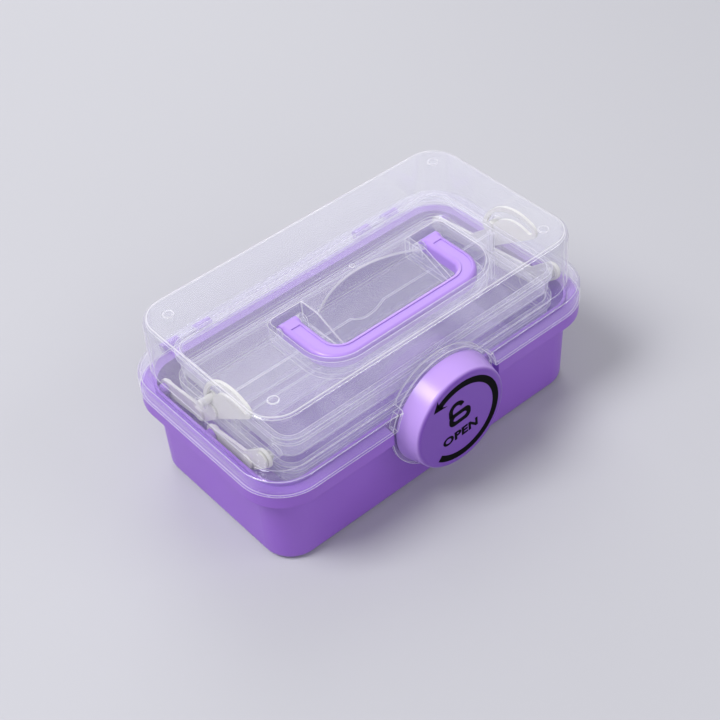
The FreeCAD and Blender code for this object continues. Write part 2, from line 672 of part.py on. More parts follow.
# Turn lock
def make_knob():
    face = -size("knob_face")
    back = -size("knob_back")
    front_radius = size("knob_front_radius")
    back_radius = size("knob_back_radius")
    edge = size("knob_edge")
    wall = size("wall")
    hub = size("hub_radius")
    hub_end = size("cam_front")
    vector = FreeCAD.Vector
    bevel = math.sqrt(0.5)
    profile = [
        Part.LineSegment(vector(0, face, 0), vector(front_radius - edge, face, 0)),
        Part.Arc(vector(front_radius - edge, face, 0),
                 vector(front_radius - edge + edge * bevel, face + edge - edge * bevel, 0),
                 vector(front_radius, face + edge, 0)),
        Part.LineSegment(vector(front_radius, face + edge, 0), vector(back_radius, back, 0)),
        Part.LineSegment(vector(back_radius, back, 0), vector(back_radius - wall, back, 0)),
        Part.LineSegment(vector(back_radius - wall, back, 0),
                         vector(front_radius - wall - edge / 3, face + wall, 0)),
        Part.LineSegment(vector(front_radius - wall - edge / 3, face + wall, 0),
                         vector(hub, face + wall, 0)),
        Part.LineSegment(vector(hub, face + wall, 0), vector(hub, hub_end, 0)),
        Part.LineSegment(vector(hub, hub_end, 0), vector(0, hub_end, 0)),
        Part.LineSegment(vector(0, hub_end, 0), vector(0, face, 0)),
    ]
    outline = Part.Face(Part.Wire([part.toShape() for part in profile]))
    body = outline.revolve(vector(0, 0, 0), Y_AXIS, 360)
    side = size("stub_side")
    stub = Part.makeBox(side, size("cam_thick"), side, vector(-side / 2, hub_end, -side / 2))
    deep = size("screw_length") + 1
    hole = Part.makeCylinder(size("screw_radius"), deep + 1,
                             vector(0, hub_end + size("cam_thick") - deep, 0), Y_AXIS)
    body = body.fuse(stub).cut(hole).removeSplitter()
    return shape_node("lock_knob", body, size("knob_height"))


def make_cam():
    y = size("cam_front")
    thick = size("cam_thick")
    inner = size("cam_inner")
    outer = size("cam_outer")
    vector = FreeCAD.Vector
    origin = vector(0, y, 0)
    half_arm = size("cam_arm_half")
    disc = Part.makeCylinder(size("cam_hub_radius"), thick, origin, Y_AXIS)
    arm = Part.makeBox(outer - size("cam_arm_inset"), thick, 2 * half_arm, vector(0, y, -half_arm))
    arm.rotate(origin, Y_AXIS, -size("cam_arm_angle"))
    ring = Part.makeCylinder(outer, thick, origin, Y_AXIS).cut(Part.makeCylinder(inner, thick, origin, Y_AXIS))
    # The hook is the part of the ring between two angles, taken by a wedge that reaches beyond it
    start, end = size("cam_hook_start"), size("cam_hook_end")
    wedge_points = [origin]
    for step in range(4):
        angle = math.radians(start + (end - start) * step / 3)
        wedge_points.append(vector(2 * outer * math.cos(angle), y, 2 * outer * math.sin(angle)))
    wedge_points.append(origin)
    wedge = Part.Face(Part.makePolygon(wedge_points)).extrude(vector(0, thick, 0))
    hook = ring.common(wedge)
    side = size("stub_side") + 2 * size("stub_play")
    square = Part.makeBox(side, thick, side, vector(-side / 2, y, -side / 2))
    body = disc.fuse(arm).fuse(hook).cut(square).removeSplitter()
    return shape_node("lock_cam", body, size("knob_height"))


def make_lock_screw():
    y = size("cam_front") + size("cam_thick")
    centre = FreeCAD.Vector(0, y, 0)
    length = size("screw_length")
    head = Part.makeCylinder(size("screw_head_radius"), size("screw_head"), centre, Y_AXIS)
    thread = Part.makeCylinder(size("screw_radius"), length, centre - Y_AXIS * length, Y_AXIS)
    return shape_node("lock_screw", head.fuse(thread).removeSplitter(), size("knob_height"))


# Crank arms. A side view of the box: points are (y, z)
def turned(point, degrees):
    """Turn a (y, z) vector by the box's opening sense, which takes the front upwards."""
    c, s = math.cos(math.radians(degrees)), math.sin(math.radians(degrees))
    return (c * point[0] + s * point[1], -s * point[0] + c * point[1])


def slot_path(share):
    """Where the lid's cam pin stands in the rear arm, with the lid open by a share of its travel."""
    hinge = (size("hinge_y"), size("split_height") + size("split_gap"))
    pivot = (size("rear_pivot_y"), size("arm_pivot_z"))
    pin = (size("cam_pin_y") - hinge[0], size("cam_pin_z") - hinge[1])
    swung = turned(pin, share * size("lid_travel"))
    away = (swung[0] + hinge[0] - pivot[0], swung[1] + hinge[1] - pivot[1])
    back = turned(away, -share * size("arm_travel"))
    return (back[0] + pivot[0], back[1] + pivot[1])


def point_at(y, z, x):
    return FreeCAD.Vector(x, y, z)


def link(start, end, radius, x, thick):
    """A flat link with round ends between two points, as a solid of the arm's thickness."""
    along = FreeCAD.Vector(0, end[0] - start[0], end[1] - start[1])
    side = along.cross(X_AXIS).normalize() * radius
    a, b = point_at(start[0], start[1], x), point_at(end[0], end[1], x)
    corners = [a + side, b + side, b - side, a - side, a + side]
    bar = Part.Face(Part.makePolygon(corners)).extrude(X_AXIS * thick)
    ends = [Part.makeCylinder(radius, thick, centre, X_AXIS) for centre in (a, b)]
    return bar.fuse(ends).removeSplitter()


def path_band(radius, x, thick, exact):
    """A band of constant half width along the cam pin's path, or along an arc near it."""
    count = 9
    left, right = [], []
    for step in range(count):
        share = step / (count - 1)
        here = slot_path(share)
        before, after = slot_path(share - 0.01), slot_path(share + 0.01)
        along = FreeCAD.Vector(0, after[0] - before[0], after[1] - before[1])
        side = along.cross(X_AXIS).normalize() * radius
        centre = point_at(here[0], here[1], x)
        left.append(centre + side)
        right.append(centre - side)
    curves = []
    for points in (left, right):
        if exact:
            curve = Part.BSplineCurve()
            curve.interpolate(points)
        else:
            curve = Part.Arc(points[0], points[count // 2], points[-1])
        curves.append(curve.toShape())
    caps = [Part.makeLine(left[0], right[0]), Part.makeLine(left[-1], right[-1])]
    outline = Part.Wire(Part.__sortEdges__(curves + caps))
    band = Part.Face(outline).extrude(X_AXIS * thick)
    for share in (0, 1):
        end = slot_path(share)
        band = band.fuse(Part.makeCylinder(radius, thick, point_at(end[0], end[1], x), X_AXIS))
    return band.removeSplitter()


def arm_points(shift):
    """Tub pivot, lower tray pivot and upper tray pivot of an arm."""
    pivot = (size("rear_pivot_y") - shift, size("arm_pivot_z"))
    lower = (pivot[0] - size("lower_reach"), pivot[1] + size("lower_rise"))
    upper = (pivot[0] - size("upper_reach"), pivot[1] + size("upper_rise"))
    return pivot, lower, upper


def make_arm(rear, side):
    thick = size("arm_thick")
    x = size("inner_layer") if rear else size("outer_layer")
    pivot, lower, upper = arm_points(0 if rear else size("arm_spacing"))
    half = size("arm_half")
    body = link(pivot, lower, half, x, thick).fuse(link(lower, upper, half, x, thick))
    if rear:
        wide = size("cam_pin_radius") + size("side_play") + size("slot_margin")
        body = body.fuse(path_band(wide, x, thick, False))
        body = body.fuse(link(upper, slot_path(0.55), half, x, thick))
        body = body.fuse(link(upper, slot_path(1.0), half, x, thick))
        body = body.cut(path_band(size("cam_pin_radius") + size("side_play"), x - 1, thick + 2, True))
    for centre, play in ((pivot, "pivot_play"), (lower, "pin_play"), (upper, "pin_play")):
        hole = size("arm_pin_radius") + size(play)
        body = body.cut(Part.makeCylinder(hole, thick + 2, point_at(centre[0], centre[1], x - 1), X_AXIS))
    body = body.removeSplitter()
    if side == "left":
        body = body.mirror(FreeCAD.Vector(), X_AXIS)
    return shape_node("%s_arm_%s" % ("rear" if rear else "front", side), body)


def headed_pin(centre, arm_low, head_outside, radius_alias="arm_pin_radius",
               head_alias="pin_head_radius", reach=0.0):
    """A pin through an arm: its root is pressed into a boss beyond the arm, its head keeps the arm on."""
    start = arm_low - size("side_play")
    shaft = size("arm_thick") + 2 * size("side_play") + reach
    root = size("pin_root")
    head = size("pin_head")
    y, z = centre
    if head_outside:
        parts = [(radius_alias, start - root, root + shaft), (head_alias, start + shaft, head)]
    else:
        parts = [(head_alias, start - head, head), (radius_alias, start, shaft + root)]
    shaft_part, head_part = [Part.makeCylinder(size(radius), length, point_at(y, z, x), X_AXIS)
                             for radius, x, length in parts]
    return shaft_part.fuse(head_part).removeSplitter()


def pin_group(label, pins):
    group = []
    for pin in pins:
        group += [pin, pin.mirror(FreeCAD.Vector(), X_AXIS)]
    return shape_node(label, Part.makeCompound(group))


def make_pins():
    inner, outer = size("inner_layer"), size("outer_layer")
    rear = arm_points(0)
    front = arm_points(size("arm_spacing"))
    made = [
        pin_group("tub_pivot_pins", [headed_pin(rear[0], inner, False),
                                     headed_pin(front[0], outer, False)]),
        pin_group("lower_tray_pins", [headed_pin(rear[1], inner, True),
                                      headed_pin(front[1], outer, True)]),
        pin_group("upper_tray_pins", [headed_pin(rear[2], inner, True),
                                      headed_pin(front[2], outer, True)]),
    ]
    cam = (size("cam_pin_y"), size("cam_pin_z"))
    boss_tip = size("box_length") / 2 - size("dome_setback") - size("wall") - size("cam_boss")
    reach = boss_tip - (inner + size("arm_thick") + size("side_play"))
    made.append(pin_group("lid_cam_pins", [headed_pin(cam, inner, False, "cam_pin_radius",
                                                        "cam_head_radius", reach)]))
    made.append(make_hinge_pins())
    made.append(make_handle_pins())
    return made


def make_hinge_pins():
    length = 3 * size("knuckle_length") + 2 * size("hinge_play")
    start = FreeCAD.Vector(size("hinge_middle") - length / 2, size("hinge_y"),
                           size("split_height") + size("split_gap"))
    return pin_group("hinge_pins", [Part.makeCylinder(size("hinge_pin_radius"), length, start, X_AXIS)])


def make_handle_pins():
    start = size("lug_inner")
    end = size("handle_half") + size("lug_play")
    height = size("box_height") - size("handle_drop") - size("handle_thick") / 2
    base = FreeCAD.Vector(start, size("handle_pivot_y"), height)
    stem = Part.makeCylinder(size("handle_pin_radius"), end - start, base, X_AXIS)
    head_base = FreeCAD.Vector(end, size("handle_pivot_y"), height)
    head = Part.makeCylinder(2 * size("handle_pin_radius"), size("handle_pin_head"), head_base, X_AXIS)
    return pin_group("handle_pins", [stem.fuse(head).removeSplitter()])


nodes = [
    make_tub(),
    make_lid(),
    make_tray("upper_tray", "upper_rim"),
    make_divider("upper_tray_divider", "upper_rim"),
    make_tray("lower_tray", "lower_rim"),
    make_divider("lower_tray_divider", "lower_rim"),
    make_handle(),
    make_knob(),
    make_cam(),
    make_lock_screw(),
]
nodes += [make_arm(rear, side) for rear in (True, False) for side in ("left", "right")]
nodes += make_pins()

doc.recompute()
for item in doc.Objects:
    if "Invalid" in item.State or "Error" in item.State:
        raise RuntimeError("%s did not compute" % item.Name)
os.makedirs("parts", exist_ok=True)
for item in nodes:
    if item.Shape.isNull() or not item.Shape.isValid():
        raise RuntimeError("%s has no valid shape" % item.Label)
    item.Shape.exportStep(os.path.join("parts", item.Label + ".step"))
    box = item.Shape.BoundBox
    print("%-20s %2d solids %9.1f mm3  x %.1f..%.1f y %.1f..%.1f z %.1f..%.1f" % (
        item.Label, len(item.Shape.Solids), item.Shape.Volume, box.XMin, box.XMax, box.YMin, box.YMax,
        box.ZMin, box.ZMax))
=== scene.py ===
import math

import bmesh
import bpy
from bpy.props import FloatProperty, FloatVectorProperty, PointerProperty, StringProperty
from mathutils import Matrix, Vector


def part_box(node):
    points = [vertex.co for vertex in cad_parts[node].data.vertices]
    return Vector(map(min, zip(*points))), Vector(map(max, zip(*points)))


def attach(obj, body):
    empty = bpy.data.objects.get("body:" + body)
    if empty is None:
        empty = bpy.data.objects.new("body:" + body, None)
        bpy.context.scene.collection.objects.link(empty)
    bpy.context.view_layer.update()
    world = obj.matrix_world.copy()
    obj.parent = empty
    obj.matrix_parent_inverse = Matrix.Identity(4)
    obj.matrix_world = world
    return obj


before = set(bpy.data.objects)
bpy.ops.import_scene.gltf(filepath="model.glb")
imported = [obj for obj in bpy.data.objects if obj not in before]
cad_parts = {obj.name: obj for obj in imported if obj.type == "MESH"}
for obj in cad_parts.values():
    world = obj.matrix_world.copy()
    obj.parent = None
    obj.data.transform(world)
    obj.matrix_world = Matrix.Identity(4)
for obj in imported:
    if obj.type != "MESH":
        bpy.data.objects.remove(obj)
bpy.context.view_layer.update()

bl_info = {
    "name": "Craft Storage Box Finish",
    "version": (1, 0, 0),
    "blender": (4, 5, 0),
    "location": "3D View > Sidebar > Craft Box",
    "description": "Dresses the craft storage box in its plastics and sets its stage",
    "category": "Object",
}

MM = 0.001

LOCK = "lock_body"

TUB_NODES = ("tub", "lock_cam")
KNOB_NODES = ("lock_knob",)
HANDLE_NODES = ("handle",)
CLEAR_LID_NODES = ("lid", "handle_pins")
TRAY_NODES = ("upper_tray", "lower_tray", "upper_tray_divider", "lower_tray_divider")
ARM_NODES = ("rear_arm_left", "rear_arm_right", "front_arm_left", "front_arm_right")
WHITE_PIN_NODES = ("tub_pivot_pins", "lower_tray_pins", "upper_tray_pins", "lid_cam_pins")
STEEL_NODES = ("hinge_pins", "lock_screw")

POLYPROPYLENE_IOR = 1.49
MILK_COLOUR = "#f8f7fb"
STEEL_COLOUR = "#b9bbc0"
WORLD_LIGHT_COLOUR = "#eeeef2"

FLOOR_RADIUS = 9.0
FLOOR_FADE = (0.9, 3.2)  # Distances between which the floor passes into the backdrop

LAMPS_LOOK_AT = (0.0, 0.0, 0.05)
LAMPS = (  # Name, place, width and height in metres, and power in watts
    ("key_left", (-1.55, 0.55, 2.55), 1.2, 1.2, 70.0),
    ("side_left", (-2.45, 1.75, 1.1), 1.4, 2.0, 8.0),
    ("back_right", (1.35, 1.72, 2.12), 1.8, 1.8, 14.0),
    ("fill_front", (-0.6, -2.8, 1.2), 1.6, 1.6, 14.0),
    ("strip_back", (1.35, 2.5, 1.0), 1.6, 0.3, 12.0),
    ("strip_front", (1.35, -2.07, 1.71), 1.6, 0.3, 12.0),
)


def linear(hex_colour):
    """An sRGB hex colour as linear red, green, blue."""
    channels = [int(hex_colour[i:i + 2], 16) / 255 for i in (1, 3, 5)]
    return tuple(c / 12.92 if c <= 0.04045 else ((c + 0.055) / 1.055) ** 2.4 for c in channels)


# Settings

class CraftBoxColours(bpy.types.PropertyGroup):
    violet: FloatVectorProperty(
        name="Violet", description="Colour of the moulded violet plastic", subtype="COLOR",
        default=linear("#8f5dc7"))
    lilac: FloatVectorProperty(
        name="Lilac", description="Colour of the handle", subtype="COLOR",
        default=linear("#b28ee3"))
    # The knob's two colours carry painted light and shade: the rim is the lilac plastic made paler
    # as a painted sheen, and the face is the violet made darker as painted shade.
    knob_rim_with_painted_sheen: FloatVectorProperty(
        name="Knob rim", description="Colour of the turn lock's pale rim", subtype="COLOR",
        default=linear("#bf9beb"))
    knob_face_with_painted_shade: FloatVectorProperty(
        name="Knob face", description="Colour of the turn lock's flat face", subtype="COLOR",
        default=linear("#7441b0"))
    white: FloatVectorProperty(
        name="White", description="Colour of the arms and their pins", subtype="COLOR",
        default=linear("#dfded6"))
    clear: FloatVectorProperty(
        name="Clear", description="Tint that the clear plastic gives to what is behind it",
        subtype="COLOR", default=linear("#fbfbfd"))
    ink: FloatVectorProperty(
        name="Ink", description="Colour of the marking on the lock", subtype="COLOR",
        default=linear("#050507"))
    floor: FloatVectorProperty(
        name="Floor", description="Colour of the floor", subtype="COLOR", default=linear("#bcbcc2"))
    backdrop: FloatVectorProperty(
        name="Backdrop", description="Tone of the backdrop behind the floor", subtype="COLOR",
        default=linear("#d9d9de"))


class CraftBoxMarking(bpy.types.PropertyGroup):
    ring_inner: FloatProperty(
        name="Ring inside", description="Inner radius of the arrow's ring", subtype="DISTANCE",
        unit="LENGTH", default=25.1 * MM)
    ring_outer: FloatProperty(
        name="Ring outside", description="Outer radius of the arrow's ring", subtype="DISTANCE",
        unit="LENGTH", default=29.8 * MM)
    ring_start: FloatProperty(
        name="Ring start", description="Where the ring starts", subtype="ANGLE",
        default=math.radians(-130))
    arrow_tip: FloatProperty(
        name="Arrow tip", description="Where the arrow's tip is", subtype="ANGLE",
        default=math.radians(139))
    arrow_reach: FloatProperty(
        name="Arrow reach", description="Radius of the head's outer barb", subtype="DISTANCE",
        unit="LENGTH", default=32.8 * MM)
    tilt: FloatProperty(
        name="Tilt", description="How far the word and the padlock are turned", subtype="ANGLE",
        default=math.radians(2.5))
    word: StringProperty(
        name="Word", description="Plain word that says what turning the lock does", default="OPEN")
    word_width: FloatProperty(
        name="Word width", description="Width of the word", subtype="DISTANCE", unit="LENGTH",
        default=27.8 * MM)
    word_height: FloatProperty(
        name="Word height", description="Height of the word's capitals", subtype="DISTANCE",
        unit="LENGTH", default=6.8 * MM)
    word_start: FloatVectorProperty(
        name="Word start", description="Left end of the word's baseline, from the face's centre",
        subtype="XYZ_LENGTH", unit="LENGTH", size=2, default=(-14.8 * MM, -14.0 * MM))
    lock_place: FloatVectorProperty(
        name="Padlock place", description="Middle of the padlock's body, from the face's centre",
        subtype="XYZ_LENGTH", unit="LENGTH", size=2, default=(-1.4 * MM, 3.4 * MM))
    lock_width: FloatProperty(
        name="Padlock width", description="Width of the padlock's body", subtype="DISTANCE",
        unit="LENGTH", default=17.2 * MM)
    lock_line: FloatProperty(
        name="Padlock line", description="Width of the padlock's lines", subtype="DISTANCE",
        unit="LENGTH", default=3.2 * MM)
    ink_height: FloatProperty(
        name="Ink height", description="Thickness of the printed ink", subtype="DISTANCE",
        unit="LENGTH", default=0.06 * MM)


class CraftBoxView(bpy.types.PropertyGroup):
    azimuth: FloatProperty(
        name="Azimuth", description="Camera's turn round the box", subtype="ANGLE",
        default=math.radians(-38.09))
    elevation: FloatProperty(
        name="Elevation", description="Camera's height above the horizon", subtype="ANGLE",
        default=math.radians(43.36))
    roll: FloatProperty(
        name="Roll", description="Camera's turn about its own axis", subtype="ANGLE",
        default=math.radians(-4.25))
    distance: FloatProperty(
        name="Distance", description="From the camera to the point it looks at", subtype="DISTANCE",
        unit="LENGTH", default=926.9 * MM)
    target: FloatVectorProperty(
        name="Target", description="Point that the camera looks at", subtype="TRANSLATION",
        unit="LENGTH", default=(-5.08 * MM, -0.49 * MM, 50.0 * MM))
    focal_length: FloatProperty(
        name="Focal length", description="Lens on a 36 mm sensor", subtype="DISTANCE_CAMERA",
        unit="CAMERA", default=75.1)


# Small helpers

def add_node(tree, kind, values=(), links=(), **attributes):
    """Add a node with its attributes, its input values and the sockets that feed it."""
    made = tree.nodes.new(kind)
    for name, value in attributes.items():
        setattr(made, name, value)
    for name, value in dict(values).items():
        made.inputs[name].default_value = value
    for name, source in dict(links).items():
        tree.links.new(source, made.inputs[name])
    return made


def new_material(name):
    """An empty node material with its output, and the tree's object coordinates."""
    material = bpy.data.materials.new(name)
    material.use_nodes = True
    tree = material.node_tree
    tree.nodes.clear()
    output = add_node(tree, "ShaderNodeOutputMaterial")
    place = add_node(tree, "ShaderNodeTexCoord").outputs["Object"]
    return material, tree, output, place


def per_metre(feature_mm):
    """Noise scale whose features are about this size."""
    return 1 / (feature_mm * MM)


def rgba(colour):
    """A colour as a shader socket takes it."""
    return (*colour, 1.0)


def dress(names, material):
    """Give CAD nodes this material alone."""
    for name in names:
        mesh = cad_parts[name].data
        mesh.materials.clear()
        mesh.materials.append(material)


# Materials

def moulded_colour(name, colour, smoothest, roughest, painted_shade_colour=None):
    """Polypropylene, injection moulded: an even dyed colour with a soft satin gloss.

    The mould's polish breaks up the highlight a little, and flow leaves faint tone changes. The
    polish is finer than a tenth of a millimetre, and drawn coarser so that it shows. Given a face
    colour, the knob's forward flat face takes that darker colour as painted shade. On the rounded
    edge it gives way to the rim's colour, which is the plastic's lilac made paler as a painted
    sheen."""
    material, tree, output, place = new_material(name)
    grain = add_node(tree, "ShaderNodeTexNoise", {"Scale": per_metre(0.8), "Detail": 2.0},
                     {"Vector": place})
    flow = add_node(tree, "ShaderNodeTexNoise", {"Scale": per_metre(45), "Detail": 2.0},
                    {"Vector": place})
    tone = add_node(tree, "ShaderNodeHueSaturation", {"Color": rgba(colour)})
    value = add_node(tree, "ShaderNodeMapRange", {"To Min": 0.94, "To Max": 1.05},
                     {"Value": flow.outputs["Fac"]})
    tree.links.new(value.outputs["Result"], tone.inputs["Value"])
    # Painted light and shade: surfaces that face forward take the darker face colour as painted
    # shade, and the sides keep the paler colour as a painted sheen, blending over the rounded edge.
    if painted_shade_colour is not None:
        normal = add_node(tree, "ShaderNodeTexCoord").outputs["Normal"]
        split = add_node(tree, "ShaderNodeSeparateXYZ", (), {"Vector": normal})
        painted_shade_mask = add_node(tree, "ShaderNodeMapRange", {"From Min": -0.35, "From Max": -0.97},
                           {"Value": split.outputs["Y"]}, interpolation_type="SMOOTHSTEP")
        painted_light_blend = add_node(tree, "ShaderNodeMix", {6: rgba(colour), 7: rgba(painted_shade_colour)},
                         {"Factor": painted_shade_mask.outputs["Result"]}, data_type="RGBA")
        tree.links.new(painted_light_blend.outputs[2], tone.inputs["Color"])
    gloss = add_node(tree, "ShaderNodeMapRange", {"To Min": smoothest, "To Max": roughest},
                     {"Value": flow.outputs["Fac"]})
    edge = add_node(tree, "ShaderNodeBevel", {"Radius": 0.35 * MM}, samples=4)
    bump = add_node(tree, "ShaderNodeBump", {"Strength": 0.12, "Distance": 0.02 * MM},
                    {"Height": grain.outputs["Fac"], "Normal": edge.outputs["Normal"]})
    shader = add_node(tree, "ShaderNodeBsdfPrincipled", {"IOR": POLYPROPYLENE_IOR},
                      {"Base Color": tone.outputs["Color"], "Roughness": gloss.outputs["Result"],
                       "Normal": bump.outputs["Normal"]})
    tree.links.new(shader.outputs["BSDF"], output.inputs["Surface"])
    return material


def moulded_white(colours):
    """Polypropylene, injection moulded, dyed white: softly lit, nearly matt arms and pins."""
    material, tree, output, place = new_material("Polypropylene moulded white")
    grain = add_node(tree, "ShaderNodeTexNoise", {"Scale": per_metre(0.5), "Detail": 2.0},
                     {"Vector": place})
    edge = add_node(tree, "ShaderNodeBevel", {"Radius": 0.25 * MM}, samples=4)
    bump = add_node(tree, "ShaderNodeBump", {"Strength": 0.15, "Distance": 0.02 * MM},
                    {"Height": grain.outputs["Fac"], "Normal": edge.outputs["Normal"]})
    rough = add_node(tree, "ShaderNodeMapRange", {"To Min": 0.32, "To Max": 0.45},
                     {"Value": grain.outputs["Fac"]})
    shader = add_node(tree, "ShaderNodeBsdfPrincipled",
                      {"Base Color": rgba(colours.white), "IOR": POLYPROPYLENE_IOR},
                      {"Roughness": rough.outputs["Result"], "Normal": bump.outputs["Normal"]})
    tree.links.new(shader.outputs["BSDF"], output.inputs["Surface"])
    return material


def clear_surface(tree, colours, normal, facing, roughness):
    """A wall that light passes, with a mirror after Schlick's formula, alike on both faces."""
    fifth = add_node(tree, "ShaderNodeMath", {1: 5.0}, {0: facing}, operation="POWER")
    schlick = add_node(tree, "ShaderNodeMapRange", {"To Min": 0.04, "To Max": 1.0},
                       {"Value": fifth.outputs["Value"]})
    through = add_node(tree, "ShaderNodeBsdfTransparent", {"Color": rgba(colours.clear)})
    mirror = add_node(tree, "ShaderNodeBsdfGlossy", {"Color": (1, 1, 1, 1), "Roughness": roughness},
                      {"Normal": normal})
    surface = add_node(tree, "ShaderNodeMixShader", (), {"Fac": schlick.outputs["Result"]})
    tree.links.new(through.outputs["BSDF"], surface.inputs[1])
    tree.links.new(mirror.outputs["BSDF"], surface.inputs[2])
    return surface.outputs["Shader"]


def milky_body(tree):
    """The milk in the plastic, which scatters light back and onwards."""
    milk = add_node(tree, "ShaderNodeMixShader", {"Fac": 0.4})
    colour = rgba(linear(MILK_COLOUR))
    back = add_node(tree, "ShaderNodeBsdfDiffuse", {"Color": colour})
    onwards = add_node(tree, "ShaderNodeBsdfTranslucent", {"Color": colour})
    tree.links.new(back.outputs["BSDF"], milk.inputs[1])
    tree.links.new(onwards.outputs["BSDF"], milk.inputs[2])
    return milk.outputs["Shader"]


def painted_roof_line(tree, place, strength):
    """A painted highlight: a thin white line where the rounded edge of the lid leaves its level
    roof.
    """
    roof_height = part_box("lid")[1].z
    normal = add_node(tree, "ShaderNodeTexCoord").outputs["Normal"]
    level = add_node(tree, "ShaderNodeSeparateXYZ", (), {"Vector": normal}).outputs["Z"]
    height = add_node(tree, "ShaderNodeSeparateXYZ", (), {"Vector": place}).outputs["Z"]
    rise = add_node(tree, "ShaderNodeMapRange",
                    {"From Min": 0.86, "From Max": 0.95, "To Max": strength}, {"Value": level})
    fall = add_node(tree, "ShaderNodeMapRange",
                    {"From Min": 0.975, "From Max": 0.995, "To Min": 1.0, "To Max": 0.0},
                    {"Value": level})
    roof = add_node(tree, "ShaderNodeMapRange",
                    {"From Min": roof_height - 1.5 * MM, "From Max": roof_height - 1.1 * MM},
                    {"Value": height})
    band = add_node(tree, "ShaderNodeMath", (),
                    {0: rise.outputs["Result"], 1: fall.outputs["Result"]}, operation="MULTIPLY")
    return add_node(tree, "ShaderNodeMath", (),
                    {0: band.outputs["Value"], 1: roof.outputs["Result"]},
                    operation="MULTIPLY").outputs["Value"]


def clear_plastic(name, colours, haze, edge_haze, painted_edge_highlight, painted_roof_highlight, roughness):
    """Clear polypropylene wall: see-through, a mirror at grazing angles, a little milky.

    The milk grows towards grazing angles, where the eye looks through more plastic. Along the
    edges, and along the lid's roof line, more white milk is mixed in as painted highlights, so
    these show as white lines."""
    material, tree, output, place = new_material(name)
    swirl = add_node(tree, "ShaderNodeTexNoise", {"Scale": per_metre(18), "Detail": 2.0},
                     {"Vector": place})
    edge = add_node(tree, "ShaderNodeBevel", {"Radius": 0.9 * MM}, samples=6).outputs["Normal"]
    bump = add_node(tree, "ShaderNodeBump", {"Strength": 0.1, "Distance": 0.05 * MM},
                    {"Height": swirl.outputs["Fac"], "Normal": edge})
    facing = add_node(tree, "ShaderNodeLayerWeight", {"Blend": 0.5}).outputs["Facing"]
    surface = clear_surface(tree, colours, bump.outputs["Normal"], facing, roughness)
    milk = milky_body(tree)
    steep = add_node(tree, "ShaderNodeMath", {1: 3.0}, {0: facing}, operation="POWER")
    amount = add_node(tree, "ShaderNodeMapRange", {"To Min": haze, "To Max": edge_haze},
                      {"Value": steep.outputs["Value"]})
    # The milk counts once for each wall, on the face that the eye meets first
    shape = add_node(tree, "ShaderNodeNewGeometry")
    front = add_node(tree, "ShaderNodeMath", {0: 1.0}, {1: shape.outputs["Backfacing"]},
                     operation="SUBTRACT")
    once = add_node(tree, "ShaderNodeMath", (),
                    {0: amount.outputs["Result"], 1: front.outputs["Value"]}, operation="MULTIPLY")
    # Near an edge the rounded normal leaves the face's own, and there white milk is mixed in as a
    # painted highlight
    turn = add_node(tree, "ShaderNodeVectorMath", (), {0: edge, 1: shape.outputs["True Normal"]},
                    operation="DOT_PRODUCT")
    edge_highlight_paint = add_node(tree, "ShaderNodeMapRange",
                    {"From Min": 0.997, "From Max": 0.93, "To Min": 0.0, "To Max": painted_edge_highlight},
                    {"Value": turn.outputs["Value"]})
    # Painted highlights: white milk along the edges and along the lid's roof line
    lines = add_node(tree, "ShaderNodeMath", (),
                     {0: painted_roof_line(tree, place, painted_roof_highlight), 1: edge_highlight_paint.outputs["Result"]},
                     operation="MAXIMUM")
    total = add_node(tree, "ShaderNodeMath", (),
                     {0: once.outputs["Value"], 1: lines.outputs["Value"]},
                     operation="ADD", use_clamp=True)
    mixed = add_node(tree, "ShaderNodeMixShader", (), {"Fac": total.outputs["Value"]})
    tree.links.new(surface, mixed.inputs[1])
    tree.links.new(milk, mixed.inputs[2])
    tree.links.new(mixed.outputs["Shader"], output.inputs["Surface"])
    return material


def bright_steel():
    """Steel, drawn bright or plated: a clear mirror that fine draw marks break up a little."""
    material, tree, output, place = new_material("Steel drawn bright")
    lines = add_node(tree, "ShaderNodeTexNoise", {"Scale": per_metre(0.2), "Detail": 1.0},
                     {"Vector": place})
    rough = add_node(tree, "ShaderNodeMapRange", {"To Min": 0.22, "To Max": 0.38},
                     {"Value": lines.outputs["Fac"]})
    shader = add_node(tree, "ShaderNodeBsdfPrincipled",
                      {"Base Color": rgba(linear(STEEL_COLOUR)), "Metallic": 1.0},
                      {"Roughness": rough.outputs["Result"]})
    tree.links.new(shader.outputs["BSDF"], output.inputs["Surface"])
    return material


def printed_ink(colours):
    """Pad-print ink: an even, matt black film on the knob's face."""
    material, tree, output, place = new_material("Pad print ink black")
    speck = add_node(tree, "ShaderNodeTexNoise", {"Scale": per_metre(0.4), "Detail": 1.0},
                     {"Vector": place})
    rough = add_node(tree, "ShaderNodeMapRange", {"To Min": 0.55, "To Max": 0.7},
                     {"Value": speck.outputs["Fac"]})
    shader = add_node(tree, "ShaderNodeBsdfPrincipled",
                      {"Base Color": rgba(colours.ink), "Specular IOR Level": 0.05},
                      {"Roughness": rough.outputs["Result"]})
    tree.links.new(shader.outputs["BSDF"], output.inputs["Surface"])
    return material


def backdrop_sight(tree):
    """1 for what the eye, a mirror or a clear wall looks at, 0 for light that falls on the box."""
    path = add_node(tree, "ShaderNodeLightPath")
    seen = add_node(tree, "ShaderNodeMath", (),
                    {0: path.outputs["Is Camera Ray"], 1: path.outputs["Is Transmission Ray"]},
                    operation="MAXIMUM")
    return add_node(tree, "ShaderNodeMath", (),
                    {0: seen.outputs["Value"], 1: path.outputs["Is Glossy Ray"]},
                    operation="MAXIMUM").outputs["Value"]


